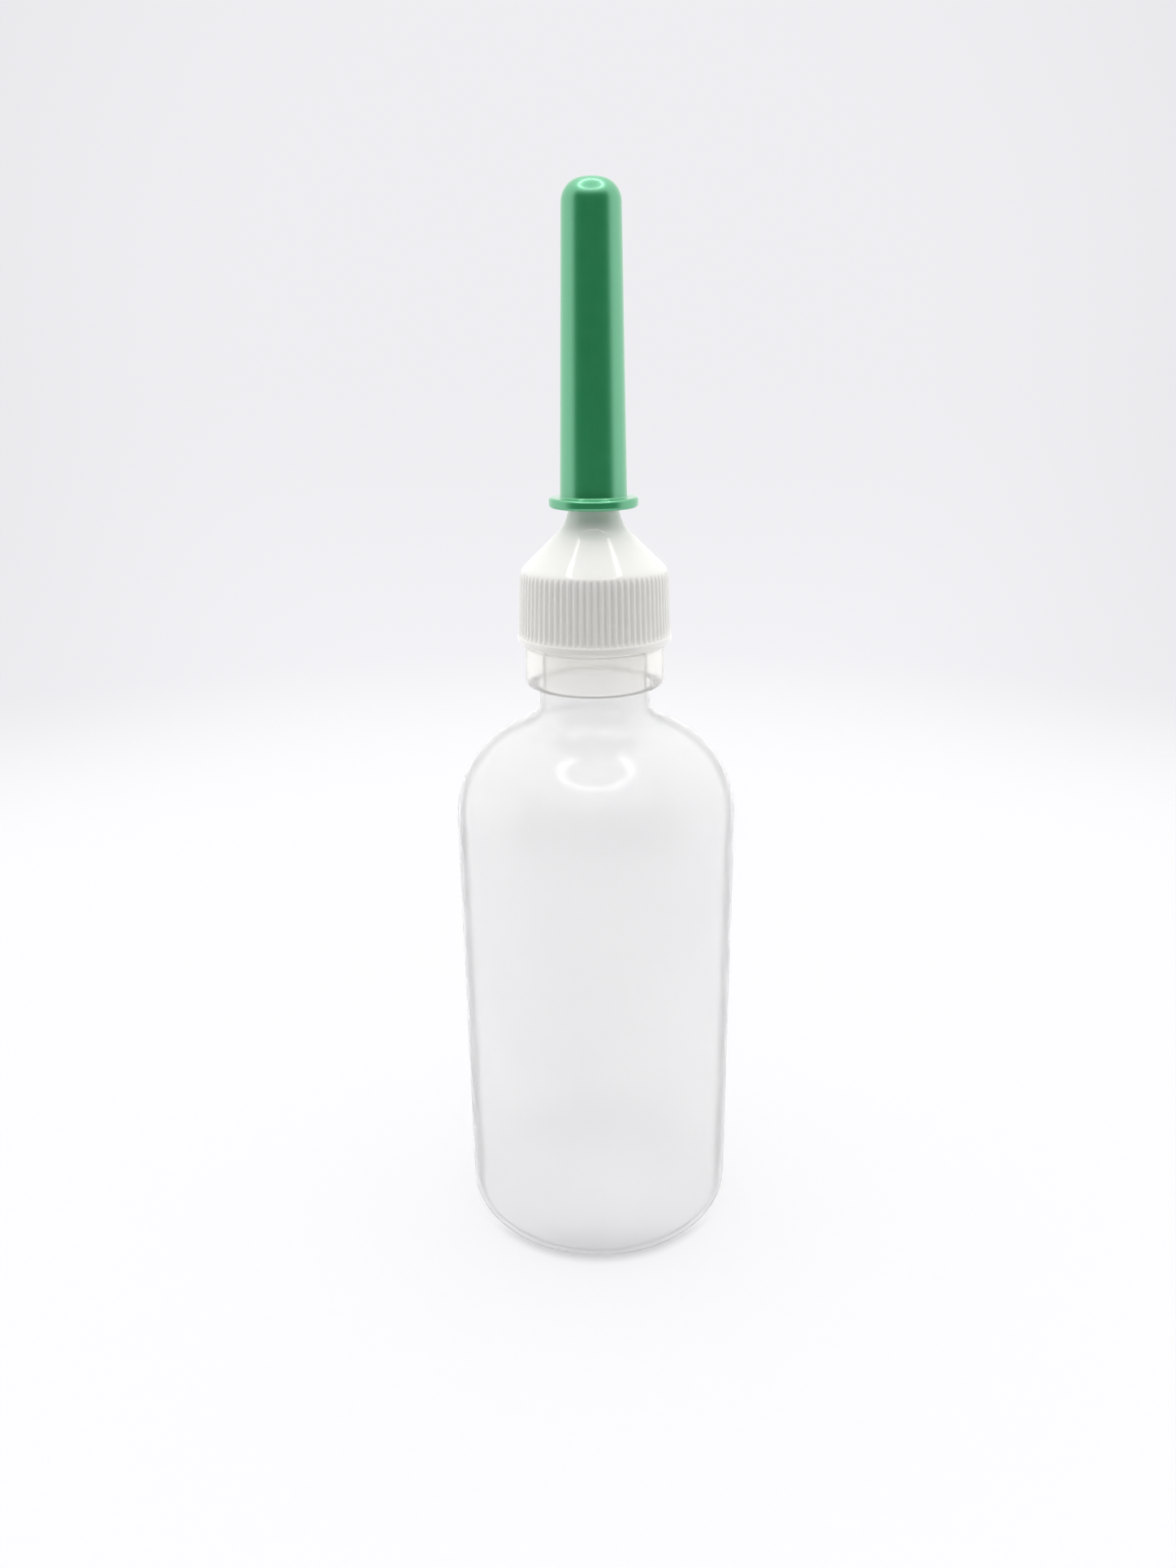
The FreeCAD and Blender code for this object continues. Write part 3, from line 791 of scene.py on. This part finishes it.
def make_floor():
    """A pale floor that gives off light, with a painted contact shadow at the object's front foot,
    and fades softly into the backdrop.
    """
    material, nodes, links = new_material("pale_floor")
    material.surface_render_method = "BLENDED"
    shader = nodes["Principled BSDF"]
    shader.inputs["Base Color"].default_value = (0.25, 0.25, 0.25, 1)
    shader.inputs["Emission Color"].default_value = (0.985, 0.975, 1, 1)
    shader.inputs["Roughness"].default_value = 0.9
    place = nodes.new("ShaderNodeTexCoord")
    distance = nodes.new("ShaderNodeVectorMath")
    distance.operation = "LENGTH"
    links.new(place.outputs["Object"], distance.inputs[0])
    split = nodes.new("ShaderNodeSeparateXYZ")
    links.new(place.outputs["Object"], split.inputs["Vector"])
    # Painted contact shadow: the glow dips near the object's foot, at the front only.
    beyond = mapped(nodes, links, distance.outputs["Value"], *CONTACT_SHADOW_BAND, CONTACT_SHADOW_GLOW, FLOOR_GLOW)
    behind = mapped(nodes, links, split.outputs["Y"], -CONTACT_SHADOW_BAND[0], -CONTACT_SHADOW_BAND[0] / 2,
                    CONTACT_SHADOW_GLOW, FLOOR_GLOW)
    glow = nodes.new("ShaderNodeMath")
    glow.operation = "MAXIMUM"
    links.new(beyond, glow.inputs[0])
    links.new(behind, glow.inputs[1])
    links.new(glow.outputs["Value"], shader.inputs["Emission Strength"])
    fade = mapped(nodes, links, distance.outputs["Value"], FLOOR_FADE, FLOOR_RADIUS, 1, 0)
    links.new(fade, shader.inputs["Alpha"])
    floor = bpy.data.objects.new("floor", ring_mesh("floor", 0, FLOOR_RADIUS))
    floor.data.materials.append(material)
    link(floor)


def product(nodes, links, first, second):
    node = nodes.new("ShaderNodeMath")
    node.operation = "MULTIPLY"
    links.new(first, node.inputs[0])
    links.new(second, node.inputs[1])
    return node.outputs["Value"]


def make_world():
    """A white tent with a dark opening at the front, and a plain pale backdrop."""
    world = bpy.data.worlds.new("light_tent")
    world.use_nodes = True
    nodes, links = world.node_tree.nodes, world.node_tree.links
    tent = nodes["Background"]
    place = nodes.new("ShaderNodeTexCoord")
    split = nodes.new("ShaderNodeSeparateXYZ")
    links.new(place.outputs["Generated"], split.inputs["Vector"])
    flat = nodes.new("ShaderNodeVectorMath")
    flat.operation = "MULTIPLY"
    flat.inputs[1].default_value = (1, 1, 0)
    level = nodes.new("ShaderNodeVectorMath")
    level.operation = "NORMALIZE"
    round_about = nodes.new("ShaderNodeSeparateXYZ")
    links.new(place.outputs["Generated"], flat.inputs[0])
    links.new(flat.outputs["Vector"], level.inputs[0])
    links.new(level.outputs["Vector"], round_about.inputs["Vector"])

    opening = mapped(nodes, links, round_about.outputs["Y"], *OPENING_EDGE, 1, 0)
    under_roof = mapped(nodes, links, split.outputs["Z"], *ROOF_EDGE, 1, 0)
    dark = product(nodes, links, opening, under_roof)
    roof = mapped(nodes, links, split.outputs["Z"], ROOF_EDGE[0], 1, SIDE_LIGHT, ROOF_LIGHT)
    strength = nodes.new("ShaderNodeMix")
    links.new(dark, strength.inputs["Factor"])
    links.new(roof, strength.inputs["A"])
    strength.inputs["B"].default_value = OPENING_LIGHT
    links.new(strength.outputs["Result"], tent.inputs["Strength"])
    tent.inputs["Color"].default_value = (1, 1, 1, 1)

    shade = mapped(nodes, links, split.outputs["Z"], *SHADE_EDGE, *SHADE_LEVELS)
    edges = mapped(nodes, links, split.outputs["Y"], *SIDE_EDGE, *SIDE_LEVELS)
    backdrop = nodes.new("ShaderNodeBackground")
    backdrop.inputs["Color"].default_value = (0.97, 0.965, 1, 1)
    links.new(product(nodes, links, shade, edges), backdrop.inputs["Strength"])
    seen = nodes.new("ShaderNodeLightPath")
    mix = nodes.new("ShaderNodeMixShader")
    links.new(seen.outputs["Is Camera Ray"], mix.inputs["Fac"])
    links.new(tent.outputs["Background"], mix.inputs[1])
    links.new(backdrop.outputs["Background"], mix.inputs[2])
    links.new(mix.outputs["Shader"], nodes["World Output"].inputs["Surface"])
    bpy.context.scene.world = world


def make_camera():
    data = bpy.data.cameras.new("camera")
    data.sensor_fit = "VERTICAL"
    data.sensor_height = SENSOR_HEIGHT
    data.lens = CAMERA_LENS
    data.clip_start = 0.01
    camera = bpy.data.objects.new("camera", data)
    downwards = math.radians(90 - CAMERA_DOWN)
    roll = math.radians(CAMERA_ROLL)
    camera.matrix_world = (Matrix.Translation(CAMERA_PLACE)
                           @ Matrix.Rotation(downwards, 4, "X") @ Matrix.Rotation(roll, 4, "Z"))
    link(camera)
    bpy.context.scene.camera = camera


make_ring_lamp()
make_floor()
make_world()
make_camera()
bpy.context.scene.view_settings.view_transform = "Standard"
